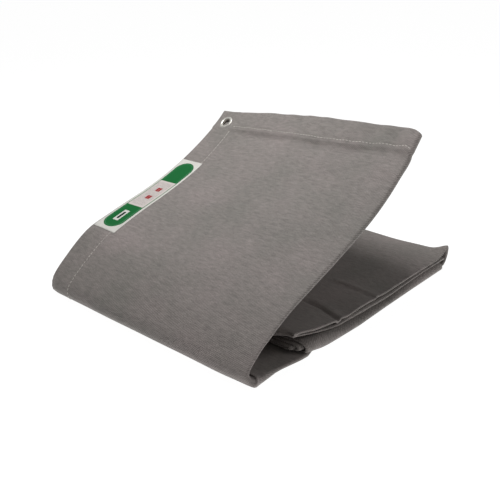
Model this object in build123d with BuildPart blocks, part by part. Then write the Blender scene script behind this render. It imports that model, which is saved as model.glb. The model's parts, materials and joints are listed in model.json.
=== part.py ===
# Fire blanket: one hemmed sheet of coated glass cloth, 920 x 1920 mm, folded in three lengthwise and
# then crosswise into a stack of panels. The stack lies on the floor and its last panel, the flap, is
# lifted like the cover of a book. The sheet carries a label and twelve metal eyelets in its hems.
#
# Frame: X runs along the spine fold, Y from the spine to the rear fold, Z up. The origin is on the
# floor, at the middle of the bottom panel. Sizes are in millimetres. They are drawn from the left end
# of the spine fold, and save() moves each finished node to the origin.
#
# Every panel of the folded strip has three plies: A (outer third, it holds the left hem), B (middle
# third) and C (right third, tucked between the other two).

from build123d import *
from math import cos, radians, sin
import os

os.makedirs("parts", exist_ok=True)

# Cloth
cloth = 0.8                  # thickness of one ply
strip_width = 307.0          # a third of the sheet's 920 mm
hem_width = 34.0
hem_inset = 17.0             # eyelet centres stand in the middle of the hem

# Panels
panel_middle = (153.5, 175.5)  # the origin, from the left end of the spine fold
pile_front = 10.0            # where the bottom panel leaves the spine fold
pile_rear = 341.0            # where the rear fold starts
tail_front = 58.0
tail_rear = 338.0
corner_open = 255.0          # right of here the front fold is drawn back and the tail folds show
flap_length = 300.0          # from the crest of the spine fold to the top hem's edge
flap_facets = 12
crest = (14.0, 36.0)         # y, z of the crest, which is also the hinge line
# slope of the raised flap, in degrees, every 60 mm from the crest to the top hem
slopes_left = (38, 19, 15, 17, 27, 38)
slopes_right = (31, 23, 23, 25, 37, 48)

# Undersides of the plies in the pile, from the floor up
z_bottom_a = 0.0
z_bottom_c = 2.0
z_bottom_b = 3.2
z_tail_a = (4.6, 5.8, 7.0)
z_tail_c = (8.2, 9.4, 10.6)
z_tail_b = (14.2, 13.0, 11.8)
z_top_b = 15.8
z_top_c = 17.0
z_top_a = 19.0

# Depths of the flap's plies under its outer face, at the crest and at the top hem
depth_c = (2.0, 4.0)
depth_b = (3.2, 8.0)

# Eyelets: a flanged barrel through the hem, curled over a washer
bore_radius = 5.75
barrel_radius = 6.35
flange_radius = 9.0
flange = 0.8
curl = 0.4
curl_radius = 7.2
barrel_room = 6.5            # hole in the cloth round the barrel
flange_room = 9.6            # hole pressed into a neighbouring ply
room = 0.2
ease = 0.03                  # the flap's twist is taken up under each flange and washer

# Seams and label
thread_width = 0.8
thread_height = 0.4
label_start = 54.0           # along the flap from the crest
label_length = 155.0
label_thickness = 0.3


def save(part, name):
    placed = part.moved(Location((-panel_middle[0], -panel_middle[1], 0)))
    placed.label = name
    export_step(placed, f"parts/{name}.step")


# ---------------------------------------------------------------- the flap's curved outer face

def slope_at(slopes, along):
    """Slope in degrees at a distance along the flap, between the listed ones."""
    span = flap_length / (len(slopes) - 1)
    step = min(int(along / span), len(slopes) - 2)
    part = along / span - step
    return slopes[step] * (1 - part) + slopes[step + 1] * part


def facet_points(slopes):
    """The facet corners of one side edge of the flap, as (y, z)."""
    facet = flap_length / flap_facets
    y, z = crest
    points = [(y, z)]
    for index in range(flap_facets):
        slope = radians(slope_at(slopes, (index + 0.5) * facet))
        y += facet * cos(slope)
        z += facet * sin(slope)
        points.append((y, z))
    return points


left_edge = facet_points(slopes_left)
right_edge = facet_points(slopes_right)
middle_slopes = [(a + b) / 2 for a, b in zip(slopes_left, slopes_right)]


def on_flap(x, along, depth=0.0):
    """Point (y, z) of the flap, at a distance along it and a depth under its outer face."""
    facet = flap_length / flap_facets
    index = min(int(along / facet), flap_facets - 1)
    part = along / facet - index
    side = x / strip_width
    corners = []
    for number in (index, index + 1):
        slope = radians(slope_at(middle_slopes, number * facet))
        y = left_edge[number][0] * (1 - side) + right_edge[number][0] * side
        z = left_edge[number][1] * (1 - side) + right_edge[number][1] * side
        corners.append((y + depth * sin(slope), z - depth * cos(slope)))
    (y0, z0), (y1, z1) = corners
    return (y0 * (1 - part) + y1 * part, z0 * (1 - part) + z1 * part)


def stations(start, end):
    """Distances along the flap from start to end, through every facet corner between them."""
    facet = flap_length / flap_facets
    inner = [n * facet for n in range(flap_facets + 1) if start + 0.5 < n * facet < end - 0.5]
    return [start] + inner + [end]


def depth_at(depths, along):
    """Depth of a ply at a distance along the flap; the plies spread from the crest to the top hem."""
    share = along / flap_length
    return depths[0] * (1 - share) + depths[1] * share


def deeper(depths, by):
    return (depths[0] + by, depths[1] + by)


def layer(x_from, x_to, start, end, depths, thickness=cloth):
    """A layer of the flap between two distances along it, under its outer face by the given depths."""
    sections = []
    for x in (x_from, x_to):
        top = []
        under = []
        for along in stations(start, end):
            depth = depth_at(depths, along)
            top.append(on_flap(x, along, depth))
            under.append(on_flap(x, along, depth + thickness))
        with BuildSketch(Plane.YZ.offset(x)) as section:
            with BuildLine():
                Polyline(*top, *reversed(under), close=True)
            make_face()
        sections.append(section.sketch.face())
    loft(sections, ruled=True)


def flap_plane(x, along, depths, face=1):
    """Plane on a ply of the flap; face 1 looks out of the outer face, -1 towards the pile."""
    depth = depth_at(depths, along)
    ahead = on_flap(x, along + 1, depth_at(depths, along + 1))
    behind = on_flap(x, along - 1, depth_at(depths, along - 1))
    left = on_flap(x - 1, along, depth)
    right = on_flap(x + 1, along, depth)
    up_slope = Vector(0, ahead[0] - behind[0], ahead[1] - behind[1])
    across = Vector(2, right[0] - left[0], right[1] - left[1])
    y, z = on_flap(x, along, depth)
    return Plane(origin=(x, y, z), x_dir=across, z_dir=across.cross(up_slope) * face).offset(ease)


# ---------------------------------------------------------------- eyelets

# The sheet's twelve eyelets: name, where the plane stands on the cloth under the flange, and the
# thickness of cloth that the eyelet clamps. Those in the pile are looking up (1) or down (-1).
right_hem_x = strip_width - hem_inset - 1.0
middle_x = strip_width / 2
top_seam = flap_length - hem_inset

hem_grip = 2 * (cloth + ease)
flap_eyelets = {
    "flap_corner": (flap_plane(hem_inset, top_seam, (0, 0)), hem_grip),
    "flap_tucked_corner": (flap_plane(right_hem_x, top_seam, depth_c), hem_grip),
    "flap_middle": (flap_plane(middle_x, top_seam, deeper(depth_b, cloth), -1), hem_grip),
}


def pile_plane(x, y, z, face):
    return Plane(origin=(x, y, z), x_dir=(1, 0, 0), z_dir=(0, 0, face))


pile_eyelets = {
    "bottom_left": (pile_plane(hem_inset, 140.5, z_bottom_a + cloth, -1), cloth),
    "bottom_tucked": (pile_plane(right_hem_x, 140.5, z_bottom_c + cloth, 1), cloth),
    "top_left": (pile_plane(hem_inset, 101.0, z_top_a + cloth, 1), 2 * cloth),
    "top_tucked": (pile_plane(right_hem_x, 101.0, z_top_c + cloth, 1), cloth),
    "tail_left": (pile_plane(hem_inset, 221.0, z_tail_a[1], -1), cloth),
    "tail_tucked": (pile_plane(right_hem_x, 221.0, z_tail_c[1] + cloth, 1), cloth),
    "tail_corner": (pile_plane(hem_inset, 321.0, z_tail_a[2], -1), cloth),
    "tail_middle": (pile_plane(middle_x, 321.0, z_tail_b[2], -1), cloth),
    "tail_tucked_corner": (pile_plane(right_hem_x, 321.0, z_tail_c[2] + cloth, 1), cloth),
}


def barrel_holes(places):
    """Holes for the barrels only."""
    for plane, grip in places:
        with BuildSketch(plane.offset(room)) as hole:
            Circle(barrel_room)
        extrude(hole.sketch, amount=-grip - 2 * room, mode=Mode.SUBTRACT)


def pressed_room(places):
    """The hollows that flanges and washers press into the neighbouring plies."""
    for plane, grip in places:
        with BuildSketch(plane) as over:
            Circle(flange_room)
        extrude(over.sketch, amount=flange + room, mode=Mode.SUBTRACT)
        with BuildSketch(plane.offset(-grip)) as under:
            Circle(flange_room)
        extrude(under.sketch, amount=-flange - curl - room, mode=Mode.SUBTRACT)


for name, (plane, grip) in {**flap_eyelets, **pile_eyelets}.items():
    washer_face = -grip - flange
    with BuildPart() as eyelet:
        with BuildSketch(Plane(origin=plane.origin, x_dir=plane.x_dir, z_dir=-plane.y_dir)):
            with BuildLine():
                Polyline(
                    (bore_radius, washer_face - curl),
                    (curl_radius, washer_face - curl),
                    (curl_radius, washer_face),
                    (barrel_radius, washer_face),
                    (barrel_radius, 0),
                    (flange_radius, 0),
                    (flange_radius, flange * 0.3),
                    (flange_radius - 0.7, flange),
                    (bore_radius + 0.9, flange),
                    (bore_radius, flange * 0.3),
                    close=True,
                )
            make_face()
        revolve(axis=Axis(plane.origin, plane.z_dir))
    save(eyelet.part, f"eyelet_{name}")

    with BuildPart() as washer:
        with BuildSketch(plane.offset(-grip)):
            Circle(flange_radius)
            Circle(barrel_radius + 0.1, mode=Mode.SUBTRACT)
        extrude(amount=-flange)
    save(washer.part, f"washer_{name}")

flap_places = list(flap_eyelets.values())
pile_places = list(pile_eyelets.values())


# ---------------------------------------------------------------- flap

# Plies A, B and C of the raised panel: A folds into B along the right edge, B into C along the left.
with BuildPart() as flap_panel:
    layer(0, strip_width - cloth, 1.5, flap_length, (0, 0))
    layer(strip_width - cloth, strip_width, 8, flap_length, (0, 0), depth_b[1] + cloth)
    layer(4, strip_width - cloth, 8, flap_length, depth_b)
    layer(4 - cloth, 4, 8, flap_length, depth_c, depth_b[1] - depth_c[1] + cloth)
    layer(4, strip_width - 4, 8, flap_length, depth_c)
    barrel_holes(flap_places)
save(flap_panel.part, "flap_panel")

# The turned-over cloth of the hems: along the top on every ply, and along the left side of ply A.
hem_start = flap_length - hem_width
with BuildPart() as flap_top_hem:
    layer(0, strip_width - 2, hem_start, flap_length, (cloth, cloth))
    barrel_holes(flap_places[:1])
save(flap_top_hem.part, "flap_top_hem")

with BuildPart() as flap_tucked_hem:
    layer(6, strip_width - 6, hem_start, flap_length, deeper(depth_c, cloth))
    barrel_holes(flap_places[1:2])
save(flap_tucked_hem.part, "flap_tucked_hem")

with BuildPart() as flap_under_hem:
    layer(6, strip_width - 2, hem_start, flap_length, deeper(depth_b, -cloth))
    barrel_holes(flap_places[2:3])
save(flap_under_hem.part, "flap_under_hem")

with BuildPart() as flap_side_hem:
    layer(0, hem_width, 8, hem_start - 0.5, (cloth, cloth))
save(flap_side_hem.part, "flap_side_hem")

# Lockstitch seams, each drawn as one low bead of thread
with BuildPart() as flap_top_stitching:
    seam = hem_start + 4
    layer(hem_inset + 12, strip_width - 12, seam, seam + thread_width, (-thread_height,) * 2, thread_height)
save(flap_top_stitching.part, "flap_top_stitching")

with BuildPart() as flap_side_stitching:
    seam_x = hem_width + 1
    layer(seam_x, seam_x + thread_width, 8, hem_start, (-thread_height,) * 2, thread_height)
save(flap_side_stitching.part, "flap_side_stitching")

bead_ends = (14, 84, middle_x, 223, strip_width - 14)
with BuildPart() as flap_under_stitching:
    for bead_start, bead_end in zip(bead_ends, bead_ends[1:]):
        layer(bead_start, bead_end, seam, seam + thread_width, deeper(depth_b, cloth + ease), thread_height)
save(flap_under_stitching.part, "flap_under_stitching")

# Label, bonded to the left hem
with BuildPart() as label:
    layer(0.5, hem_width, label_start, label_start + label_length, (-label_thickness,) * 2, label_thickness)
save(label.part, "label")


# ---------------------------------------------------------------- spine fold

def ply_along_x(outline, x_from, x_to):
    """A ply whose (y, z) path runs through straight lines and arcs, cloth thick on its right."""
    with BuildSketch(Plane.YZ.offset(x_from)) as section:
        with BuildLine():
            outline()
            offset(amount=cloth, side=Side.RIGHT)
        make_face()
    extrude(section.sketch, amount=x_to - x_from)


def spine_path(inset):
    """The bulge from the floor up to the crest, set in from the outer face."""
    def outline():
        front = ThreePointArc((1, inset), (-8.5 + inset, 10), (-4 + inset * 0.7, 21 - inset * 0.7))
        Line((pile_front, inset), front @ 0)
        Line(front @ 1, (13 + inset * 0.6, 35.2 - inset * 0.8))
    return outline


with BuildPart() as spine_fold:
    ply_along_x(spine_path(z_bottom_a), 0, strip_width)
with BuildPart() as spine_tucked_plies:
    ply_along_x(spine_path(z_bottom_c), 4, strip_width - 4)
    ply_along_x(spine_path(z_bottom_b), 4, strip_width - 2)
save(spine_fold.part, "spine_fold")
save(spine_tucked_plies.part, "spine_tucked_plies")


# ---------------------------------------------------------------- pile panels

def letter_fold(z_a, z_b, z_c, x_right, x_left, y_from, y_to):
    """One panel of the strip: ply A, the right fold, ply B, the left fold and ply C, in one piece."""
    with BuildSketch(Plane.XZ.offset(-y_from)) as section:
        for low, high, x, turn in ((z_a, z_b, x_right, 1), (z_b, z_c, x_left, -1)):
            middle = (low + high + cloth) / 2
            outer = (abs(high - low) + cloth) / 2
            with Locations((x, middle)):
                Circle(outer)
                Circle(outer - cloth, mode=Mode.SUBTRACT)
            with Locations((x - turn * outer, middle)):
                Rectangle(2 * outer, 2 * outer, mode=Mode.SUBTRACT)
        for z, x_from, x_to in ((z_a, 1, x_right), (z_b, x_left, x_right), (z_c, x_left, strip_width - 4)):
            with Locations(((x_from + x_to) / 2, z + cloth / 2)):
                Rectangle(x_to - x_from, cloth)
    extrude(section.sketch, amount=y_from - y_to)


with BuildPart() as bottom_panel:
    letter_fold(z_bottom_a, z_bottom_b, z_bottom_c, strip_width - 2, 3, pile_front, pile_rear)
    barrel_holes(pile_places[1:])
    pressed_room(pile_places)
save(bottom_panel.part, "bottom_panel")

with BuildPart() as top_panel:
    letter_fold(z_top_a, z_top_b, z_top_c, strip_width - 1.4, 3, tail_front, pile_rear)
    barrel_holes(pile_places)
    pressed_room(pile_places)
save(top_panel.part, "top_panel")

for number in range(3):
    with BuildPart() as tail_panel:
        heights = (z_tail_a[number], z_tail_b[number], z_tail_c[number])
        letter_fold(*heights, strip_width - 2, 5, tail_front, tail_rear)
        barrel_holes(pile_places)
        pressed_room(pile_places)
    save(tail_panel.part, f"tail_panel_{number + 1}")


# ---------------------------------------------------------------- crosswise folds

def cross_fold(y, way, low, high, x_from, x_to):
    """A half-round fold between two plies; way 1 turns at the rear, -1 at the front."""
    outer = (high + cloth - low) / 2
    middle = (high + cloth + low) / 2
    with BuildSketch(Plane.YZ.offset(x_from)) as section:
        with Locations((y, middle)):
            Circle(outer)
            Circle(outer - cloth, mode=Mode.SUBTRACT)
        with Locations((y - way * outer, middle)):
            Rectangle(2 * outer, 2 * outer, mode=Mode.SUBTRACT)
    extrude(section.sketch, amount=x_to - x_from)


with BuildPart() as rear_fold:
    cross_fold(pile_rear, 1, z_bottom_a, z_top_a, 1, strip_width - 1.4)
save(rear_fold.part, "rear_fold")

with BuildPart() as rear_tucked_plies:
    cross_fold(pile_rear, 1, z_bottom_c, z_top_c, 4, strip_width - 4)
    cross_fold(pile_rear, 1, z_bottom_b, z_top_b, 4, strip_width - 2)
save(rear_tucked_plies.part, "rear_tucked_plies")

with BuildPart() as front_fold:
    cross_fold(tail_front, -1, z_tail_a[0], z_top_a, 6, corner_open)
    cross_fold(tail_front, -1, z_tail_c[0], z_top_c, 6, corner_open)
    cross_fold(tail_front, -1, z_tail_b[0], z_top_b, 6, corner_open)
save(front_fold.part, "front_fold")

with BuildPart() as tail_rear_folds:
    cross_fold(tail_rear, 1, z_tail_a[0], z_tail_a[1], 6, strip_width - 4)
    cross_fold(tail_rear, 1, z_tail_c[0], z_tail_c[1], 6, strip_width - 4)
    cross_fold(tail_rear, 1, z_tail_b[1], z_tail_b[0], 6, strip_width - 4)
save(tail_rear_folds.part, "tail_rear_folds")

with BuildPart() as tail_front_folds:
    cross_fold(tail_front, -1, z_tail_a[1], z_tail_a[2], 6, strip_width - 4)
    cross_fold(tail_front, -1, z_tail_c[1], z_tail_c[2], 6, strip_width - 4)
    cross_fold(tail_front, -1, z_tail_b[2], z_tail_b[1], 6, strip_width - 4)
save(tail_front_folds.part, "tail_front_folds")


# ---------------------------------------------------------------- left hem of the pile

def strip(x_from, x_to, y_from, y_to, z, thickness):
    """A flat strip that runs along Y."""
    with BuildSketch(Plane.XY.offset(z)) as section:
        with Locations(((x_from + x_to) / 2, (y_from + y_to) / 2)):
            Rectangle(x_to - x_from, y_to - y_from)
    extrude(section.sketch, amount=thickness)


with BuildPart() as bottom_side_hem:
    strip(1, hem_width, pile_front, pile_rear, z_bottom_a + cloth, cloth)
    with BuildSketch(Plane.XY.offset(z_bottom_a + cloth)):
        with Locations((hem_inset, 140.5)):
            Circle(barrel_room)
    extrude(amount=cloth, mode=Mode.SUBTRACT)
save(bottom_side_hem.part, "bottom_side_hem")

with BuildPart() as top_side_hem:
    strip(1, hem_width, tail_front, pile_rear, z_top_a - cloth, cloth)
    barrel_holes(pile_places[2:3])
save(top_side_hem.part, "top_side_hem")

with BuildPart() as top_side_stitching:
    strip(seam_x, seam_x + thread_width, tail_front + 4, pile_rear - 1, z_top_a + cloth, thread_height)
save(top_side_stitching.part, "top_side_stitching")
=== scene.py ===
import json
import math
import bmesh
import bpy
import numpy as np
from mathutils import Matrix, Vector


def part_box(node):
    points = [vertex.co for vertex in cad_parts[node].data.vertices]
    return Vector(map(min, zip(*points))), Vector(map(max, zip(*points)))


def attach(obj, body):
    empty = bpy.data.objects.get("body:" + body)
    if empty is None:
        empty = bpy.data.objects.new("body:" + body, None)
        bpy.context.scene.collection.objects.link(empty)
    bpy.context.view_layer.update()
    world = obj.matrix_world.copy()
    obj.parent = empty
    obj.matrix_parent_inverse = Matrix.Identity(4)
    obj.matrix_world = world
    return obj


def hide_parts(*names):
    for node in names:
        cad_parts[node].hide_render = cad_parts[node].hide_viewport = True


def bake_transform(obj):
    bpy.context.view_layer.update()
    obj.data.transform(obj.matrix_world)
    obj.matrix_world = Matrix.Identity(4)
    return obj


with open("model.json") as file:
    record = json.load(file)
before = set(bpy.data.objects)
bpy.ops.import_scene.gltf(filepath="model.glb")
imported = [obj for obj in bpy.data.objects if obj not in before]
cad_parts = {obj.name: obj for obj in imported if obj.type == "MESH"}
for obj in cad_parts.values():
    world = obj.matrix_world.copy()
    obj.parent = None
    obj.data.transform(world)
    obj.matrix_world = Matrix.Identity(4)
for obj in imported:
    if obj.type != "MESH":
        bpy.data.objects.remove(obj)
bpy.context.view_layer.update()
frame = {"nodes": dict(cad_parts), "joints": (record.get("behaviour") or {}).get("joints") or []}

# ---- Camera ----------------------------------------------------------------------------------
# A 61 mm lens on a 36 mm frame, hand held to the right of the spine fold and a little over the
# raised flap. It leans about a degree.
camera_data = bpy.data.cameras.new("camera")
camera_data.lens = 61.2
camera_data.sensor_width = 36.0
camera = bpy.data.objects.new("camera", camera_data)
bpy.context.scene.collection.objects.link(camera)
camera_place = Vector((0.6138, -0.6692, 0.4474))
azimuth, elevation, lean = math.radians(42.9), math.radians(24.35), math.radians(-1.18)
look_back = Vector((math.sin(azimuth) * math.cos(elevation),
                    -math.cos(azimuth) * math.cos(elevation),
                    math.sin(elevation)))
level_right = Vector((math.cos(azimuth), math.sin(azimuth), 0))
level_up = look_back.cross(level_right)
camera_right = level_right * math.cos(lean) + level_up * math.sin(lean)
camera_up = level_up * math.cos(lean) - level_right * math.sin(lean)
camera.matrix_world = Matrix((
    (camera_right.x, camera_up.x, look_back.x, camera_place.x),
    (camera_right.y, camera_up.y, look_back.y, camera_place.y),
    (camera_right.z, camera_up.z, look_back.z, camera_place.z),
    (0, 0, 0, 1)))
bpy.context.scene.camera = camera
bpy.context.scene.view_settings.view_transform = "Standard"


# ---- Floor and light -------------------------------------------------------------------------
# White laminate studio table under a softbox overhead, with a weaker one at the right and an even
# white room. The table's sheen is broad and its shadows are faint.
def linear(code):
    """sRGB hex code to a linear colour."""
    parts = [int(code[i:i + 2], 16) / 255 for i in (1, 3, 5)]
    return [p / 12.92 if p <= 0.04045 else ((p + 0.055) / 1.055) ** 2.4 for p in parts] + [1.0]


def add(tree, kind, settings=None, **links):
    """A node with its settings and its inputs: a value is set, a socket is linked."""
    made = tree.nodes.new(kind)
    for key, value in (settings or {}).items():
        setattr(made, key, value)
    for key, value in links.items():
        place = int(key[1:]) if key[0] == "i" and key[1:].isdigit() else key.replace("_", " ")
        if isinstance(value, bpy.types.NodeSocket):
            tree.links.new(value, made.inputs[place])
        else:
            made.inputs[place].default_value = value
    return made


def new_material(name):
    """A material with a bare Principled shader: (material, tree, shader)."""
    material = bpy.data.materials.new(name)
    material.use_nodes = True
    return material, material.node_tree, material.node_tree.nodes["Principled BSDF"]


# White matt laminate: flat white with a trace of glow, which keeps the table even out to its ends.
laminate, tree, shader = new_material("laminate_matt_white")
shader.inputs["Base Color"].default_value = linear("#6c6c6c")
shader.inputs["Roughness"].default_value = 0.8
shader.inputs["Emission Color"].default_value = linear("#ffffff")
shader.inputs["Emission Strength"].default_value = 0.96

table_half = 40.0
table_z = -0.0004            # 0.4 mm under the bottom ply, so that the two faces don't coincide
table_mesh = bpy.data.meshes.new("table_top")
table_corners = ((-1, -1), (1, -1), (1, 1), (-1, 1))
table_mesh.from_pydata([(x * table_half, y * table_half, table_z) for x, y in table_corners],
                       [], [(0, 1, 2, 3)])
table_mesh.materials.append(laminate)
table_top = bpy.data.objects.new("table_top", table_mesh)
bpy.context.scene.collection.objects.link(table_top)

room = bpy.data.worlds.new("white_room")
room.use_nodes = True
room.node_tree.nodes["Background"].inputs["Color"].default_value = linear("#ffffff")
room.node_tree.nodes["Background"].inputs["Strength"].default_value = 0.13
bpy.context.scene.world = room


def softbox(name, place, aim, size, power):
    """A square area light at place that looks at aim, all in metres."""
    data = bpy.data.lights.new(name, "AREA")
    data.size = size
    data.energy = power
    box = bpy.data.objects.new(name, data)
    box.location = place
    box.rotation_euler = (Vector(aim) - Vector(place)).to_track_quat("-Z", "Y").to_euler()
    bpy.context.scene.collection.objects.link(box)


softbox("key_softbox", (-0.20, 0.02, 0.84), (-0.02, 0.06, 0.12), 0.4, 6.0)
softbox("side_softbox", (0.78, 0.55, 0.50), (0.05, 0.05, 0.02), 0.5, 1.8)

# ---- Coated glass cloth ----------------------------------------------------------------------
# Twill-woven glass yarn sealed with a thin grey silicone coat. The coat gives it a dull waxy sheen,
# the yarn a fine slanting rib, and folding leaves it rubbed paler along its edges.
cloth_thickness = 0.0008
rib_pitch = 0.0019           # twill ribs; real ones are 1.2 mm apart, drawn coarser to show
yarn_pitch = 0.0012          # picks of the weave, coarsened alike


def coated_cloth(name, face, shade, rubbed, painted_crease_shade):
    """Glass cloth in one tone, with a darker tone that it drifts to at random, its rubbed tone and the
    painted shade of its creases. Its UV map is in metres.
    """
    material, tree, shader = new_material(name)
    uv = add(tree, "ShaderNodeUVMap").outputs["UV"]
    place = add(tree, "ShaderNodeTexCoord").outputs["Object"]
    # slanting ribs, wavering a little as hand-laid yarn does
    drift = add(tree, "ShaderNodeTexNoise", Vector=uv, Scale=160.0, Detail=2.0).outputs["Fac"]
    slanted = add(tree, "ShaderNodeMapping", Vector=uv, Rotation=(0, 0, math.radians(52)))
    ribs = add(tree, "ShaderNodeTexWave", {"wave_type": "BANDS", "bands_direction": "Y"},
               Vector=slanted.outputs["Vector"], Scale=0.314 / rib_pitch, Distortion=1.6,
               Detail=2.0, Detail_Scale=1.5).outputs["Fac"]
    picks = add(tree, "ShaderNodeTexWave", {"wave_type": "BANDS", "bands_direction": "X"},
                Vector=uv, Scale=0.314 / yarn_pitch, Distortion=1.0, Detail=1.0).outputs["Fac"]
    weave = add(tree, "ShaderNodeMath", {"operation": "MULTIPLY_ADD"},
                i0=picks, i1=0.35, i2=ribs).outputs["Value"]
    speckle = add(tree, "ShaderNodeTexNoise", Vector=uv, Scale=900.0, Detail=3.0).outputs["Fac"]
    # broad tone: handling marks and dust, tens of millimetres across
    cloud = add(tree, "ShaderNodeTexNoise", Vector=place, Scale=14.0, Detail=4.0,
                Roughness=0.55).outputs["Fac"]
    cloud_tone = add(tree, "ShaderNodeMapRange", Value=cloud, From_Min=0.3, From_Max=0.7)
    toned = add(tree, "ShaderNodeMix", {"data_type": "RGBA"}, i0=cloud_tone.outputs["Result"],
                i6=linear(shade), i7=linear(face)).outputs[2]
    rib_tone = add(tree, "ShaderNodeMapRange", Value=weave, From_Min=0.1, From_Max=1.2,
                   To_Min=0.76, To_Max=1.12).outputs["Result"]
    ribbed = add(tree, "ShaderNodeMix", {"data_type": "RGBA", "blend_type": "MULTIPLY"}, i0=1.0,
                 i6=toned, i7=rib_tone).outputs[2]
    # thick and thin places in the weft yarn, long streaks across the strip
    stretched = add(tree, "ShaderNodeMapping", Vector=uv, Scale=(115, 380, 1))
    slub = add(tree, "ShaderNodeTexNoise", Vector=stretched.outputs["Vector"], Scale=1.0, Detail=3.0,
               Distortion=0.7).outputs["Fac"]
    texture = add(tree, "ShaderNodeMath", {"operation": "ADD"}, i0=speckle, i1=slub).outputs["Value"]
    grain = add(tree, "ShaderNodeMapRange", Value=texture, From_Min=0.7, From_Max=1.3,
                To_Min=0.74, To_Max=1.24).outputs["Result"]
    grained = add(tree, "ShaderNodeMix", {"data_type": "RGBA", "blend_type": "MULTIPLY"}, i0=1.0,
                  i6=ribbed, i7=grain).outputs[2]
    # rubbed pale where a fold or an edge stands proud
    edge = add(tree, "ShaderNodeNewGeometry").outputs["Pointiness"]
    rub = add(tree, "ShaderNodeMapRange", Value=edge, From_Min=0.55, From_Max=0.66,
              To_Max=0.25).outputs["Result"]
    worn = add(tree, "ShaderNodeMix", {"data_type": "RGBA"}, i0=rub, i6=grained,
               i7=linear(rubbed)).outputs[2]
    # painted shade: the creases are darkened as if shadow gathered in them
    crease = add(tree, "ShaderNodeMapRange", Value=edge, From_Min=0.49, From_Max=0.43,
                 To_Max=0.5).outputs["Result"]
    crease_shaded = add(tree, "ShaderNodeMix", {"data_type": "RGBA"}, i0=crease, i6=worn,
                i7=linear(painted_crease_shade)).outputs[2]
    tree.links.new(crease_shaded, shader.inputs["Base Color"])
    patches = add(tree, "ShaderNodeMapRange", Value=drift, From_Min=0.25, From_Max=0.75,
                  To_Min=0.62, To_Max=0.8).outputs["Result"]
    tree.links.new(patches, shader.inputs["Roughness"])
    weave_bump = add(tree, "ShaderNodeBump", Height=weave, Strength=0.6, Distance=0.0003)
    grain_bump = add(tree, "ShaderNodeBump", Height=texture, Strength=0.4, Distance=0.0004,
                     Normal=weave_bump.outputs["Normal"])
    tree.links.new(grain_bump.outputs["Normal"], shader.inputs["Normal"])
    shader.inputs["Sheen Weight"].default_value = 0.12
    shader.inputs["Sheen Roughness"].default_value = 0.5
    shader.inputs["IOR"].default_value = 1.41
    return material


# the last tone, #4f4a47, is painted shade for the creases
cloth_outside = coated_cloth("glass_cloth_grey_silicone", "#8f8683", "#7f7b76", "#9e9893",
                             "#4f4a47")

# ---- The folded sheet ------------------------------------------------------------------------
# One 920 mm wide sheet, folded lengthwise in three like a letter and then crosswise. This piece is
# its stretch from the top hem down the flap, round the spine, under and over the pile to the front
# fold. Its top and left edges are turned under 34 mm and sewn. Sizes below are in millimetres.
strip_width = 307.0
hem_width = 34.0
seam_inset = hem_width - 4.0
half_cloth = 0.4
hem_drop = 0.9               # the turned-under cloth lies this far behind the face
inner_depth = 2.0            # the inner ply lies this far under the outer face
under_depth = 3.2            # and the under ply this far
inner_sag = 2.0              # and both hang further by this much at the flap's free end
under_sag = 4.8
flap_length = 300.0
spread = np.arange(-4.0, 320.0, 2.0)      # stations across the strip at which its path is worked out
# Shapes are drawn from the left end of the spine fold, and home is the frame's origin seen from there
hinge = Vector((0, 14, 36))
home = np.array(hinge) - 1000 * np.array(frame["joints"][0]["pos_m"])
slopes_left = np.radians((38, 19, 15, 17, 27, 38))
slopes_right = np.radians((31, 23, 23, 25, 37, 48))
slope_stops = np.linspace(0, flap_length, 6)
corner_eyelet = (17.0, 283.0)             # across and along the flap


def soft_step(value, start, end):
    part = np.clip((value - start) / (end - start), 0, 1)
    return part * part * (3 - 2 * part)


def bump(value, centre, width):
    return np.exp(-((value - centre) / width) ** 2)


def side_edge(slopes):
    """Distances along one side edge of the flap, with its y and z."""
    along = np.arange(0, flap_length + 12)
    slope = np.interp(along[:-1] + 0.5, slope_stops, slopes)
    y = hinge.y + np.concatenate(([0], np.cumsum(np.cos(slope))))
    z = hinge.z + np.concatenate(([0], np.cumsum(np.sin(slope))))
    return along, y, z


edge_left = side_edge(slopes_left)
edge_right = side_edge(slopes_right)
slopes_middle = (slopes_left + slopes_right) / 2


def seam_line(x):
    """Where the top hem's seam runs; it drifts up the flap at both ends."""
    return flap_length - seam_inset + np.interp(x, (30, 46, 174, 299), (6.5, 6.3, 2.3, 9.0))


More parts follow.
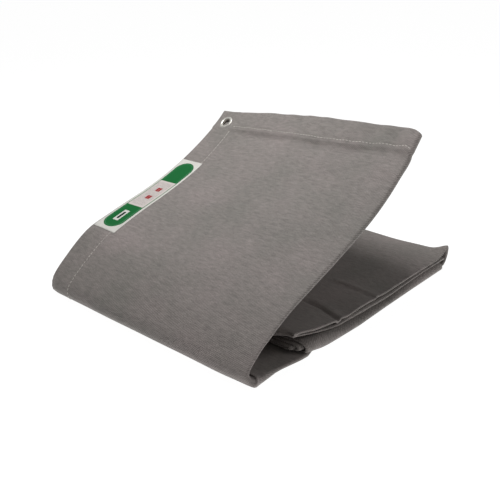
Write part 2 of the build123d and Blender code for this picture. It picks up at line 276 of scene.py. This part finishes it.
def flap_swell(x, along):
    """How far the flap's cloth stands off its smooth shape, in soft waves."""
    calm = soft_step(along, 4, 60)
    # the corner eyelet clamps the cloth flat round itself
    clamped = soft_step(np.hypot(x - corner_eyelet[0], along - corner_eyelet[1]), 11, 24)
    wave = 0.9 * np.sin(x / 41 + along / 67 + 0.6) + 0.6 * np.sin(x / 23 - along / 35 + 2.0)
    wave += 1.5 * bump(x, 200, 45) * bump(along, 165, 38)
    wave -= 1.2 * bump(x, 120, 40) * bump(along, 110, 40)
    # the seam draws the cloth up into small puckers on both sides of it, more at the right
    pucker = 0.5 * np.sin(x / 4.1 + 1.3 * np.sin(x / 17) + along / 9) * (1 + 1.1 * soft_step(x, 230, 300))
    wave += pucker * bump(along, seam_line(x), 9) * soft_step(x, 34, 60)
    wave += 0.8 * np.sin((x + 0.5 * along) / 8.5) * bump(x, 292, 22) * bump(along, 284, 18)
    # the double cloth of the hem lies in upright ripples, with hollows under the seam
    wave += 0.9 * np.sin(x / 5.6 + 1.7 * np.sin(x / 23)) * bump(along, 292, 12) * soft_step(x, 40, 75)
    hollow = 0.7 + 0.5 * np.sin(x / 12 + 1.1 * np.sin(x / 31))
    wave -= hollow * bump(along, seam_line(x) - 11, 5) * soft_step(x, 44, 70)
    wave += 0.5 * np.sin(x / 15 + along / 6.5) * bump(x, 262, 40) * bump(along, 250, 18)
    # the left edge stands proud above the spine and sags in the middle
    wave += 1.8 * bump(x, 4, 34) * bump(along, 38, 32) - 2.2 * bump(x, 4, 34) * bump(along, 155, 62)
    hem_step = 1.7 * soft_step(along, seam_line(x) - 7.0, seam_line(x) - 3.8)
    hem_step = hem_step - 0.9 * bump(along, seam_line(x) - 16, 8) * soft_step(x, 36, 60)
    groove = -0.5 * bump(along, seam_line(x), 1.5) * (0.75 + 0.25 * np.cos(x / 4.5 * 2 * np.pi))
    side_step = 0.35 * (1 - soft_step(x, hem_width - 1.5, hem_width + 1.5))
    side_groove = -0.4 * bump(x, hem_width + 0.6, 1.5) * (0.75 + 0.25 * np.cos(along * 1.4))
    side = (side_step + side_groove) * soft_step(along, 2, 20)
    return clamped * (calm * wave + hem_step + groove + side)


def flap_row(x, along):
    """(y, z) of the flap's outer face and its outward normal."""
    side = np.clip(x / strip_width, -0.02, 1.03)
    rise = flap_swell(x, along)
    stretch = np.interp(x, (34, 90, 156, 277, 298, 307), (0, 4.0, 6.6, 6.0, 4.2, 0.5))
    along = along + stretch * soft_step(along, 150, 300)
    y = np.interp(along, *edge_left[:2]) * (1 - side) + np.interp(along, *edge_right[:2]) * side
    z = (np.interp(along, edge_left[0], edge_left[2]) * (1 - side)
         + np.interp(along, edge_right[0], edge_right[2]) * side)
    slope = np.interp(along, slope_stops, slopes_middle)
    return y - rise * np.sin(slope), z + rise * np.cos(slope), -np.sin(slope), np.cos(slope)


def spine_row(x, part):
    """The bulge at the front, from the hinge line (0) down to the bottom panel (1)."""
    way = np.linspace(0, 1, 9)
    y = np.interp(part, way, (14.0, 7.2, 1.2, -4.0, -7.4, -8.4, -6.6, -1.2, 10.0))
    z = np.interp(part, way, (36.0, 30.6, 25.6, 20.8, 15.4, 9.6, 4.2, 0.6, 0.0))
    crush = soft_step(x, 262, 306) * bump(part, 0.72, 0.2)
    wave = 0.5 * np.sin(x / 31 + 1.1) + 0.35 * np.sin(x / 13 + part * 4)
    y = y + wave * bump(part, 0.5, 0.24) + 1.6 * crush
    y = y + 2.4 * (1 - soft_step(x, -4, 14)) * bump(part, 0.6, 0.3)
    return y, z + 0.5 * np.sin(x / 27) * bump(part, 0.4, 0.2)


def top_height(x, y):
    """Height of the pile's top face: it drops to the rear fold, has two creases, and rises to the
    pinched loop at the front right and to the turned-up rear right corner."""
    z = 19.8 - 2.6 * soft_step(y, 300, 348) * (1 - soft_step(x, 230, 285))
    climb = np.clip((131 - y) / 64, 0, 1.15)
    z = z + 9.2 * climb ** 0.85 * soft_step(x, 222, 300)
    crease = np.interp(x, (250, 280, 311), (140, 138.5, 129))
    z = z - 1.8 * bump(y, crease, 2.4) * soft_step(x, 246, 268)
    z = z + 1.1 * bump(y, crease + 7, 4.5) * soft_step(x, 246, 275)
    z = z + 1.1 * bump(y, 201, 2.6) * soft_step(x, 242, 262)
    z = z - 0.7 * bump(y, 194, 4.0) * soft_step(x, 242, 262)
    z = z + 0.8 * np.sin(x / 34 + y / 45) * soft_step(x, 60, 120) * (1 - soft_step(y, 320, 340))
    sag = np.interp(y, (125, 145, 168, 219, 285, 327), (0, 1.4, 0.9, 3.2, 1.3, 0.2))
    z = z - sag * soft_step(x, 268, 309)
    return z + 9.5 * bump(x, 311, 15) * bump(y, 350, 13)


def front_line(x):
    """Where the front fold stands: it is drawn back at the right."""
    return 50.4 + 12.0 * soft_step(x, 245, 300)


# The strip's path, one row per station: (y, z) over the whole spread, and its outward normal.
rows = []


def keep_row(y, z, normal_y=None, normal_z=None, **facts):
    """Adds a row; a single number for y or z holds for the whole spread."""
    rows.append({"y": y + 0 * spread, "z": z + 0 * spread,
                 "ny": normal_y, "nz": normal_z, "turned": 0.0,
                 "inner": inner_depth, "under": under_depth, "out": 0.0, "zone": "pile", **facts})


def flap_facts(along):
    part = along / flap_length
    return {"inner": inner_depth + inner_sag * part, "under": under_depth + under_sag * part,
            "zone": "flap", "along": along}


for along in (266.5, 270, 275, 279, 283, 287, 291, 295, 298.5, 299.8):
    keep_row(*flap_row(spread, along), **{**flap_facts(along), "turned": 1.0})
keep_row(*flap_row(spread, 300.4), **{**flap_facts(300.4), "turned": 0.5})
flap_stops = np.concatenate((np.arange(299.8, 262, -2.0), np.arange(261.5, 4, -4.2), (2.0,)))
for along in flap_stops:
    keep_row(*flap_row(spread, along), **flap_facts(along))
for part in np.linspace(0, 1, 27)[1:-1]:
    y, z = spine_row(spread, part)
    fat = bump(part, 0.84, 0.24)
    keep_row(y, z, inner=inner_depth, under=under_depth + 7.4 * fat, out=7.5 * fat, zone="spine")
for y in np.concatenate((np.arange(14, 128, 9.0), np.arange(130, 152, 2.2), np.arange(158, 338, 9.0))):
    fat = 1 - float(soft_step(y, 14, 44))
    edge = float(np.interp(y, (0, 28, 60, 75, 98), (0, 0, 5, 7, 0))) + 4.5 * fat
    keep_row(y, 0.0, under=under_depth + 3.6 * fat, out=edge)
rear_turn = ((345.0, 0.04), (349.0, 0.18), (350.4, 0.38), (350.6, 0.62), (349.4, 0.84), (346.5, 0.97))
for y, part in rear_turn:
    tip = bump(spread, 311, 15)
    keep_row(y + 3.0 * tip * part, part * top_height(spread, np.array(346.5)), out=2.5 * part)
top_stops = np.concatenate((np.arange(343, 202, -4.2), np.arange(202, 184, -2.0),
                            np.arange(183, 142, -4.2), np.arange(141, 122, -2.0),
                            np.arange(121, 112, -4.2), np.arange(112, 90, -2.2),
                            np.arange(89, 58, -4.2)))
for y in top_stops:
    drawn = y + (front_line(spread) - 50.4) * soft_step(np.array(95.0 - y), 0, 40)
    edge = 3.4 + 0.8 * bump(y, 140, 40) - 4.4 * soft_step(np.array(100.0 - y), 0, 40)
    keep_row(drawn, top_height(spread, drawn), out=float(edge), inner=0.95, under=1.9)
turn_top = rows[-1]
front_low = np.interp(spread, (232, 272, 304), (4.6, 15.0, 25.0))
for turn in np.linspace(0, math.pi, 10)[1:]:
    radius = (turn_top["z"] - front_low) / 2
    keep_row(turn_top["y"] - (turn_top["y"] - front_line(spread)) * math.sin(turn),
             turn_top["z"] - radius * (1 - math.cos(turn)), out=turn_top["out"],
             inner=0.95 + 1.0 * math.sin(turn), under=1.9 + 1.2 * math.sin(turn))

# Normals of the rows that don't state their own, from the path's direction
for number, row in enumerate(rows):
    if row["ny"] is None:
        before, after = rows[number - 1], rows[min(number + 1, len(rows) - 1)]
        step_y = after["y"] - before["y"]
        step_z = after["z"] - before["z"]
        size = np.maximum(np.hypot(step_y, step_z), 1e-6)
        row["ny"], row["nz"] = step_z / size, -step_y / size


steady_width = 200.0         # beyond this the plies stretch to reach the right fold
stretch_width = 105.0


def cross_section(row, columns):
    """Where the letter-folded plies run at one station: x, depth under the outer face, and the
    direction that each ply's face looks in, for columns of (kind, value)."""
    points = []
    inner = row["inner"] + half_cloth
    under = row["under"] + half_cloth
    right_radius = (under - half_cloth) / 2
    left_radius = (under - inner) / 2
    right_x = strip_width - half_cloth - right_radius + row["out"]
    left_x = 3.0 + left_radius

    def stretched(x):
        if x < steady_width:
            return x
        return steady_width + (x - steady_width) * (right_x - steady_width) / stretch_width

    for kind, value in columns:
        if kind == "side_hem":
            points.append((value, half_cloth + hem_drop, 0.0, 1.0))
        elif kind == "left_turn":
            points.append((-0.1, half_cloth + hem_drop / 2, -1.0, 0.0))
        elif kind == "face":
            points.append((stretched(value), half_cloth, 0.0, -1.0))
        elif kind == "right_fold":
            points.append((right_x + right_radius * math.sin(value),
                           half_cloth + right_radius * (1 - math.cos(value)),
                           math.sin(value), -math.cos(value)))
        elif kind == "under":
            points.append((stretched(value), under, 0.0, 1.0))
        elif kind == "left_fold":
            points.append((left_x - left_radius * math.sin(value),
                           under - left_radius * (1 - math.cos(value)),
                           -math.sin(value), math.cos(value)))
        else:
            points.append((value, inner, 0.0, -1.0))
    return np.array(points)


columns = [("side_hem", x) for x in (34, 31, 28, 24, 20.5, 17, 13.5, 10, 6, 3, 0.9)]
columns += [("left_turn", 0)]
columns += [("face", x) for x in np.concatenate((
    (0.9,), np.arange(3, 39, 2.0), np.arange(42, 200, 4.4), np.arange(203, 306, 3.4)))]
columns += [("right_fold", turn) for turn in np.linspace(0, math.pi, 9)]
columns += [("under", x) for x in np.concatenate((
    np.arange(300, 168, -9.0), np.arange(165, 142, -2.4), np.arange(136, 6, -9.0)))]
columns += [("left_fold", turn) for turn in np.linspace(0, math.pi, 6)]
columns += [("inner", x) for x in np.arange(12, 303, 13.0)]
kinds = [kind for kind, value in columns]


def place_row(row):
    section = cross_section(row, columns)
    x, depth, face_x, face_d = section.T
    back = row["turned"] * hem_drop
    x = x - face_x * back
    depth = depth - face_d * back
    at_x = np.clip(x, spread[0], spread[-1])
    ny = np.interp(at_x, spread, row["ny"] + 0 * spread)
    nz = np.interp(at_x, spread, row["nz"] + 0 * spread)
    y = np.interp(at_x, spread, row["y"]) - ny * depth
    z = np.interp(at_x, spread, row["z"]) - nz * depth
    return np.stack((x, y, z), 1)


main_grid = np.stack([place_row(row) for row in rows])


def grid_sheet(name, grid, material, drop=None, thickness=cloth_thickness):
    """A closed sheet from a grid of points in millimetres, with a UV map in metres."""
    down, across = grid.shape[:2]
    number = np.arange(down * across).reshape(down, across)
    step_u = np.linalg.norm(np.diff(grid, axis=1), axis=2)
    step_v = np.linalg.norm(np.diff(grid, axis=0), axis=2).max(1)
    u = np.pad(np.cumsum(step_u, axis=1), ((0, 0), (1, 0))) / 1000
    v = np.concatenate(([0], np.cumsum(step_v))) / 1000
    faces = []
    for r in range(down - 1):
        for c in range(across - 1):
            if drop is None or not drop(r, c):
                faces.append((number[r, c], number[r + 1, c], number[r + 1, c + 1], number[r, c + 1]))
    mesh = bpy.data.meshes.new(name)
    mesh.from_pydata(((grid.reshape(-1, 3) - home) / 1000).tolist(), [], faces)
    layer = mesh.uv_layers.new(name="UVMap")
    corner = np.array([loop.vertex_index for loop in mesh.loops])
    layer.data.foreach_set("uv", np.stack((u.ravel()[corner], v[corner // across]), 1).ravel())
    mesh.polygons.foreach_set("use_smooth", [True] * len(mesh.polygons))
    mesh.materials.append(material)
    made = bpy.data.objects.new(name, mesh)
    bpy.context.scene.collection.objects.link(made)
    wall = made.modifiers.new("thickness", "SOLIDIFY")
    wall.thickness = thickness
    wall.offset = 0.0
    return settle(made)


def settle(made):
    """Applies an object's modifiers, leaving it a plain mesh without loose points."""
    bpy.context.view_layer.update()
    result = bpy.data.meshes.new_from_object(made.evaluated_get(bpy.context.evaluated_depsgraph_get()))
    made.modifiers.clear()
    made.data = result
    used = np.zeros(len(result.vertices), bool)
    used[[loop.vertex_index for loop in result.loops]] = True
    if not used.all():
        shell = bmesh.new()
        shell.from_mesh(result)
        loose = [vertex for vertex in shell.verts if not vertex.link_faces]
        bmesh.ops.delete(shell, geom=loose, context="VERTS")
        shell.to_mesh(result)
        shell.free()
    return made


# Cloth that isn't there: the corner where both hems would overlap, and the holes for the eyelets
hole_radius = 7.0
hole_depth = 3.0
first_face = kinds.index("face")
eyelet_nodes = ("eyelet_flap_corner", "eyelet_flap_middle", "eyelet_top_left", "eyelet_bottom_left")
eyelet_centres = []
for node in eyelet_nodes:
    low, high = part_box(node)
    eyelet_centres.append(np.array((low + high) / 2) * 1000 + home)


def cut_away(r, c):
    row, kind = rows[r], kinds[c]
    turned = row["turned"] > 0 or rows[r + 1]["turned"] > 0
    on_flap = row["zone"] == "flap"
    in_top_hem = on_flap and row["along"] > flap_length - hem_width
    if c < first_face and (turned or in_top_hem):
        return True
    middle = (main_grid[r, c] + main_grid[r + 1, c + 1]) / 2
    gaps = [middle - centre for centre in eyelet_centres]
    if on_flap:
        at_corner, at_middle = [np.linalg.norm(gap) < hole_radius for gap in gaps[:2]]
        return (at_corner and kind == "face") or (at_middle and kind == "under")
    in_pile = [np.linalg.norm(gap[:2]) < hole_radius and abs(gap[2]) < hole_depth for gap in gaps[2:]]
    return any(in_pile) and kind in ("face", "side_hem")


sheet_main = grid_sheet("folded_sheet", main_grid, cloth_outside, cut_away)
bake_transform(sheet_main)
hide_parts("flap_panel", "flap_top_hem", "flap_tucked_hem", "flap_under_hem",
            "flap_side_hem", "spine_fold", "spine_tucked_plies", "bottom_panel", "bottom_side_hem",
            "rear_fold", "rear_tucked_plies", "top_panel", "top_side_hem", "front_fold")

# ---- Tail panels -----------------------------------------------------------------------------
# The rest of the same sheet, zigzagged and folded lengthwise together, so that its panels nest like
# three U shapes in the middle of the pile. The outermost bulges out at the right down to the table.

def smooth_path(points, steps):
    """Points evenly spaced along a soft curve through the given ones (Catmull-Rom)."""
    points = np.array(points, float)
    ends = np.vstack((2 * points[0] - points[1], points, 2 * points[-1] - points[-2]))
    fine = []
    for index in range(len(points) - 1):
        a, b, c, d = ends[index:index + 4]
        for t in np.linspace(0, 1, 12, endpoint=False):
            fine.append(0.5 * (2 * b + (c - a) * t + (2 * a - 5 * b + 4 * c - d) * t * t
                               + (3 * b - 3 * c + d - a) * t ** 3))
    fine = np.array(fine + [points[-1]])
    run = np.concatenate(([0], np.cumsum(np.linalg.norm(np.diff(fine, axis=0), axis=1))))
    even = np.linspace(0, run[-1], steps)
    return np.stack([np.interp(even, run, fine[:, k]) for k in range(2)], 1)


tail_setbacks = (0, 6.8, 13.4)            # how far each right fold lies behind the outermost one


def band_top(y):
    """Height of the outermost panel's top near its right edge, under the tuck."""
    return float(np.interp(y, (75, 100, 130, 168, 219, 285, 331), (14.6, 13.2, 9.4, 8.2, 6.9, 10.0, 9.9)))


def tail_section(depth, y, shrink):
    """One station of a tail panel: depth 0 is the outermost panel, 2 the innermost."""
    swell = float(np.interp(y, (66, 110, 160, 214, 283, 343), (3.2, 5.6, 6.5, 3.7, 2.4, 1.0)))
    belly = 311.0 + swell - tail_setbacks[depth] - shrink
    front = 1 - float(soft_step(np.array(y), 76, 104))
    low = 4.6 + 1.0 * depth + 0.25 * shrink
    high = 12.4 - 1.25 * depth - 0.3 * shrink
    edge_high = band_top(y) - (1.3 + 0.8 * front) * depth - 0.35 * shrink
    mid = low + 1.1 + 0.2 * (2 - depth)
    left = 5.6 - (2 - depth) * 1.6
    half = (edge_high - low) / 2
    if depth == 0:
        floor_low = 1.1 + 3.4 * front
        right = [(255, high), (290, (high + edge_high) / 2), (belly - 10, edge_high + 0.3),
                 (belly - 3.6, edge_high - 0.6), (belly - 0.5, (edge_high + floor_low) / 2 + 1.4),
                 (belly, (edge_high + floor_low) / 2 - 0.8), (belly - 1.6, floor_low + 0.8),
                 (belly - 4.4, floor_low), (belly - 9, max(floor_low, 3.0)), (belly - 16, low)]
    else:
        right = [(255, high), (290 - 6 * depth, (high + edge_high) / 2), (belly - 2 - half, edge_high),
                 (belly - 0.8, low + half * 1.5), (belly, low + half), (belly - 0.8, low + half * 0.5),
                 (belly - 2 - half, low + 0.1), (belly - 18, low)]
    right = [tuple(point) for point in smooth_path(right, 44)]
    bottom = [(x, low) for x in np.linspace(1.5, right[-1][0] - 6, 24)]
    top = [(x, high) for x in np.linspace(right[0][0] - 6, left + 6, 20)]
    turn = [(left + 2.5 - 3.4 * math.sin(t), (high + mid + 1.6) / 2
             + (high - mid - 1.6) / 2 * math.cos(t)) for t in np.linspace(0.2, math.pi - 0.2, 7)]
    inner = [(x, mid + 1.6) for x in np.linspace(left + 8, 276, 20)]
    return bottom + right[::-1] + top + turn + inner


def tail_grid(depth):
    """One tail panel's grid. Its front end rolls inwards, so that it shows as a soft pale lip."""
    front_end = 75.0 - 4.6 * depth
    stations = [(front_end + 2.6, 4.4), (front_end + 1.0, 4.0), (front_end + 0.2, 3.0),
                (front_end, 1.7), (front_end + 0.5, 0.7), (front_end + 1.6, 0.15)]
    stations += [(y, 0.0) for y in np.arange(front_end + 4, 337, 6.5)]
    grid = []
    for y, shrink in stations:
        grid.append([(x, y, z) for x, z in tail_section(depth, y, shrink)])
    return np.array(grid)[::-1]


tail_nodes = (("tail_panel_1", "tail_rear_folds"), ("tail_panel_2", "tail_front_folds"),
              ("tail_panel_3",))
for depth, nodes in enumerate(tail_nodes):
    panel = grid_sheet(f"tail_sheet_{depth + 1}", tail_grid(depth), cloth_outside)
    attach(panel, "pile")
    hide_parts(*nodes)

# ---- Tuck ------------------------------------------------------------------------------------
# A pleat of the same cloth caught between the top panel and the nested ones. It opens into a pinched
# loop near the front and lies flat as far as the rear fold.

# Heights of the gaps over and under it, at stations from the front to the rear
gap_stops = (66, 98, 115, 130, 168, 219, 285, 327, 345)
gap_over_tuck = (26.0, 19.8, 17.0, 15.2, 15.9, 13.4, 15.4, 16.4, 16.0)
gap_under_tuck = (23.8, 15.9, 12.6, 10.2, 9.5, 8.0, 11.4, 11.3, 11.0)
tuck_y = np.concatenate((np.arange(66, 74, 1.5), np.arange(75, 140, 3.0), np.arange(144, 344, 7.0)))
tuck_grid = []
for y in tuck_y:
    roof = float(np.interp(y, gap_stops, gap_over_tuck)) - 1.6
    base = float(np.interp(y, gap_stops, gap_under_tuck)) + 1.2
    centre = (roof + base) / 2
    open_half = max((roof - base) / 2 - half_cloth, 0.45)
    reach = float(np.interp(y, (66, 98, 130, 168, 344), (305.0, 308.8, 311.6, 312.4, 311.0)))
    root = 262 if y > 120 else 284
    path = [(root, centre + open_half * 0.5), (reach - 9, centre + open_half),
            (reach - 2.2, centre + open_half * 0.96), (reach, centre),
            (reach - 2.2, centre - open_half * 0.96), (reach - 9, centre - open_half),
            (root, centre - open_half * 0.5)]
    tuck_grid.append([(x, y, z) for x, z in smooth_path(path, 34)])
tuck = grid_sheet("tuck", np.array(tuck_grid), cloth_outside)
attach(tuck, "pile")

# ---- Eyelets and washers ---------------------------------------------------------------------
# Nickel-plated brass, pressed and curled over a flat washer. The press leaves them bright with fine
# scratches, and handling dulls the flange.
nickel, tree, shader = new_material("brass_nickel_plated")
shader.inputs["Metallic"].default_value = 0.8
place = add(tree, "ShaderNodeTexCoord").outputs["Object"]
scratch = add(tree, "ShaderNodeTexNoise", Vector=place, Scale=900.0, Detail=4.0).outputs["Fac"]
plating = add(tree, "ShaderNodeMix", {"data_type": "RGBA"}, i0=scratch, i6=linear("#d0cdc4"),
              i7=linear("#f2f0ea")).outputs[2]
tree.links.new(plating, shader.inputs["Base Color"])
dulled = add(tree, "ShaderNodeMapRange", Value=scratch, From_Min=0.3, From_Max=0.7, To_Min=0.34,
             To_Max=0.5).outputs["Result"]
tree.links.new(dulled, shader.inputs["Roughness"])
scratch_bump = add(tree, "ShaderNodeBump", Height=scratch, Strength=0.15, Distance=0.0001)
tree.links.new(scratch_bump.outputs["Normal"], shader.inputs["Normal"])
for name, node in frame["nodes"].items():
    if name.startswith(("eyelet_", "washer_")):
        node.data.materials.clear()
        node.data.materials.append(nickel)

# ---- Label -----------------------------------------------------------------------------------
# White film, 36 x 155 mm, printed in green and heat-bonded to the left hem. The middle field holds
# rows of small grey print and two pairs of red bars. The film is smooth with a faint gloss.
label_start, label_length = 54.0, 155.0
label_grid = []
for along in np.linspace(label_start + label_length, label_start, 74):
    up = (along - label_start) / label_length      # it sits a little askew
    x = np.linspace(2.0 - 1.2 * up, 38.6 - 2.2 * up, 20)
    y, z, ny, nz = flap_row(x, along)
    label_grid.append(np.stack((x, y + ny * 0.24, z + nz * 0.24), 1))
label_film, tree, shader = new_material("vinyl_film_printed")
uv = add(tree, "ShaderNodeUVMap").outputs["UV"]
split = add(tree, "ShaderNodeSeparateXYZ", Vector=uv)


def math_node(operation, a, b=0.0, c=0.0):
    return add(tree, "ShaderNodeMath", {"operation": operation}, i0=a, i1=b, i2=c).outputs["Value"]


across = math_node("MULTIPLY", split.outputs["X"], 1000.0)
up_label = math_node("MULTIPLY_ADD", split.outputs["Y"], -1000.0, label_length)


def field(centre_x, centre_y, half_x, half_y, corner):
    """Distance outside a rounded box on the label, in millimetres."""
    gap_x = math_node("MAXIMUM", math_node("SUBTRACT", math_node("ABSOLUTE", math_node(
        "SUBTRACT", across, centre_x)), half_x - corner), 0.0)
    gap_y = math_node("MAXIMUM", math_node("SUBTRACT", math_node("ABSOLUTE", math_node(
        "SUBTRACT", up_label, centre_y)), half_y - corner), 0.0)
    gap = math_node("SQRT", math_node("ADD", math_node("MULTIPLY", gap_x, gap_x),
                                      math_node("MULTIPLY", gap_y, gap_y)))
    return math_node("SUBTRACT", gap, corner)


def inside(distance):
    """1 inside a field, 0 outside, with a soft printed edge."""
    return add(tree, "ShaderNodeMapRange", Value=distance, From_Min=0.12, From_Max=-0.12).outputs["Result"]


def printed(over, mask, colour):
    return add(tree, "ShaderNodeMix", {"data_type": "RGBA"}, i0=mask, i6=over, i7=colour).outputs[2]


film_tone = add(tree, "ShaderNodeTexNoise", Vector=uv, Scale=70.0, Detail=3.0).outputs["Fac"]
ink = printed(linear("#dcdad4"), film_tone, linear("#c6c4be"))
mid_x, mid_y = 18.0, 77.5
field_y = 80.3               # middle of the printed field
box_y = 28.8                 # middle of the small white box
capsule = field(mid_x, mid_y, 14.6, 72.5, 14.5)
ink = printed(ink, inside(capsule), linear("#00642c"))
inset_line = math_node("SUBTRACT", math_node("ABSOLUTE", math_node("ADD", capsule, 1.9)), 0.2)
ink = printed(ink, inside(inset_line), linear("#4e8a68"))
ink = printed(ink, inside(field(mid_x, field_y, 13.6, 29.0, 1.0)), linear("#cdc5c1"))
rows_of_print = math_node("SINE", math_node("MULTIPLY", across, 2.1))
words = add(tree, "ShaderNodeTexNoise", Vector=uv, Scale=640.0, Detail=0.0).outputs["Fac"]
small_print = math_node("MULTIPLY", math_node("GREATER_THAN", rows_of_print, 0.35),
                        math_node("GREATER_THAN", words, 0.47))
print_field = math_node("MULTIPLY", inside(field(mid_x, field_y, 11.6, 26.0, 0.5)), small_print)
ink = printed(ink, math_node("MULTIPLY", print_field, 0.6), linear("#5f5856"))
for mark_y in (73.0, 91.0):
    for side in (-2.0, 2.0):
        ink = printed(ink, inside(field(mid_x + 1.0 + side, mark_y, 1.7, 3.9, 0.6)), linear("#980010"))
ink = printed(ink, inside(field(mid_x, box_y, 4.4, 10.6, 0.8)), linear("#d2d2cc"))
ink = printed(ink, inside(field(mid_x, box_y, 1.9, 7.0, 1.5)), linear("#1c2b24"))
tree.links.new(ink, shader.inputs["Base Color"])
film_rough = add(tree, "ShaderNodeMapRange", Value=film_tone, To_Min=0.4, To_Max=0.55).outputs["Result"]
tree.links.new(film_rough, shader.inputs["Roughness"])
shader.inputs["Specular IOR Level"].default_value = 0.25
film_bump = add(tree, "ShaderNodeBump", Height=film_tone, Strength=0.2, Distance=0.0006)
tree.links.new(film_bump.outputs["Normal"], shader.inputs["Normal"])
label = grid_sheet("label_film", np.array(label_grid), label_film, thickness=0.00025)
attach(label, "flap")
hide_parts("label")

# ---- Seams -----------------------------------------------------------------------------------
# Lockstitch in white polyester thread, about 4.5 mm to the stitch, along both hems. The thread sinks
# at each needle hole, so that only the stitch between two holes shows.
thread, tree, shader = new_material("polyester_thread_white")
place = add(tree, "ShaderNodeTexCoord").outputs["Object"]
fuzz = add(tree, "ShaderNodeTexNoise", Vector=place, Scale=1500.0, Detail=3.0).outputs["Fac"]
tree.links.new(add(tree, "ShaderNodeMix", {"data_type": "RGBA"}, i0=fuzz, i6=linear("#b4afa7"),
                   i7=linear("#ebe6de")).outputs[2], shader.inputs["Base Color"])
tree.links.new(add(tree, "ShaderNodeBump", Height=fuzz, Strength=0.4,
                   Distance=0.0002).outputs["Normal"], shader.inputs["Normal"])
shader.inputs["Roughness"].default_value = 0.75
shader.inputs["Sheen Weight"].default_value = 0.2

stitch_pitch = 0.0045
stitch_length = stitch_pitch * 0.72
thread_radius = 0.00038
seam_break = 20.0            # a wider gap between two points, in millimetres, has no thread
seam_tree = bpy.data.node_groups.new("lockstitch_seam", "GeometryNodeTree")
seam_tree.is_modifier = True
seam_tree.interface.new_socket("Geometry", in_out="INPUT", socket_type="NodeSocketGeometry")
seam_tree.interface.new_socket("Geometry", in_out="OUTPUT", socket_type="NodeSocketGeometry")
seam_inputs = {}
for socket_name, kind, value in (("Pitch", "NodeSocketFloat", stitch_pitch),
                                 ("Stitch Length", "NodeSocketFloat", stitch_length),
                                 ("Thread Radius", "NodeSocketFloat", thread_radius),
                                 ("Thread", "NodeSocketMaterial", None)):
    socket = seam_tree.interface.new_socket(socket_name, in_out="INPUT", socket_type=kind)
    if value is not None:
        socket.default_value = value
    seam_inputs[socket_name] = socket.identifier
group_in = add(seam_tree, "NodeGroupInput").outputs
path = add(seam_tree, "GeometryNodeMeshToCurve", Mesh=group_in["Geometry"]).outputs["Curve"]
spots = add(seam_tree, "GeometryNodeResampleCurve", {"mode": "LENGTH"}, Curve=path,
            Length=group_in["Pitch"])
tangent = add(seam_tree, "GeometryNodeInputTangent").outputs["Tangent"]
bead = add(seam_tree, "GeometryNodeMeshUVSphere", Segments=8, Rings=6, Radius=1.0).outputs["Mesh"]
shape = add(seam_tree, "ShaderNodeCombineXYZ", X=group_in["Thread Radius"],
            Y=group_in["Thread Radius"], Z=add(
                seam_tree, "ShaderNodeMath", {"operation": "MULTIPLY"},
                i0=group_in["Stitch Length"], i1=0.5).outputs["Value"]).outputs["Vector"]
turned = add(seam_tree, "FunctionNodeAlignEulerToVector", {"axis": "Z"}, Vector=tangent).outputs["Rotation"]
lean_in = add(seam_tree, "FunctionNodeRandomValue", {"data_type": "FLOAT_VECTOR"}, i0=(-0.1,) * 3,
              i1=(0.1,) * 3, Seed=5).outputs["Value"]
wavered = add(seam_tree, "ShaderNodeVectorMath", {"operation": "ADD"}, i0=turned,
              i1=lean_in).outputs["Vector"]
stitches = add(seam_tree, "GeometryNodeInstanceOnPoints", Points=spots.outputs["Curve"], Instance=bead,
               Rotation=wavered, Scale=shape).outputs["Instances"]
whole = add(seam_tree, "GeometryNodeRealizeInstances", Geometry=stitches).outputs["Geometry"]
smooth = add(seam_tree, "GeometryNodeSetShadeSmooth", Geometry=whole).outputs["Geometry"]
threaded = add(seam_tree, "GeometryNodeSetMaterial", Geometry=smooth, Material=group_in["Thread"])
seam_out = add(seam_tree, "NodeGroupOutput")
seam_tree.links.new(threaded.outputs["Geometry"], seam_out.inputs["Geometry"])


def seam(name, points):
    """Stitches along a line of points in millimetres, as a plain mesh. The line breaks at gaps."""
    line = bpy.data.meshes.new(name)
    near = [k for k in range(len(points) - 1) if math.dist(points[k], points[k + 1]) < seam_break]
    line.from_pydata(((np.array(points) - home) / 1000).tolist(), [(k, k + 1) for k in near], [])
    made = bpy.data.objects.new(name, line)
    bpy.context.scene.collection.objects.link(made)
    sewing = made.modifiers.new("sewing", "NODES")
    sewing.node_group = seam_tree
    sewing[seam_inputs["Pitch"]] = stitch_pitch
    sewing[seam_inputs["Stitch Length"]] = stitch_length
    sewing[seam_inputs["Thread"]] = thread
    return settle(made)


thread_lift = 0.15
top_points = []
for x in np.arange(38, 303, 1.5):
    y, z, ny, nz = flap_row(np.array(x), float(seam_line(x)))
    top_points.append((x, float(y + ny * thread_lift), float(z + nz * thread_lift)))
top_seam = seam("top_seam", top_points)
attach(top_seam, "flap")
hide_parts("flap_top_stitching")

seam_along = flap_length - seam_inset
under_points = []
for x in np.arange(16, 290, 3.0):
    y, z, ny, nz = flap_row(np.array(x), seam_along)
    depth = under_depth + under_sag * seam_along / flap_length + 2 * half_cloth + 0.1
    under_points.append((x, float(y - ny * depth), float(z - nz * depth)))
under_seam = seam("under_seam", under_points)
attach(under_seam, "flap")
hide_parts("flap_under_stitching")

side_points = []
seam_x = hem_width - 0.2
for row in rows:
    along = row.get("along", 0)
    labelled = label_start < along < label_start + label_length
    if row["turned"] == 0 and along < seam_along - 2 and not labelled:
        ny = float(np.interp(seam_x, spread, row["ny"] + 0 * spread))
        nz = float(np.interp(seam_x, spread, row["nz"] + 0 * spread))
        side_points.append((seam_x, float(np.interp(seam_x, spread, row["y"])) + ny * thread_lift,
                            float(np.interp(seam_x, spread, row["z"])) + nz * thread_lift))
side_seam = seam("side_seam", side_points)
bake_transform(side_seam)
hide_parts("flap_side_stitching", "top_side_stitching")
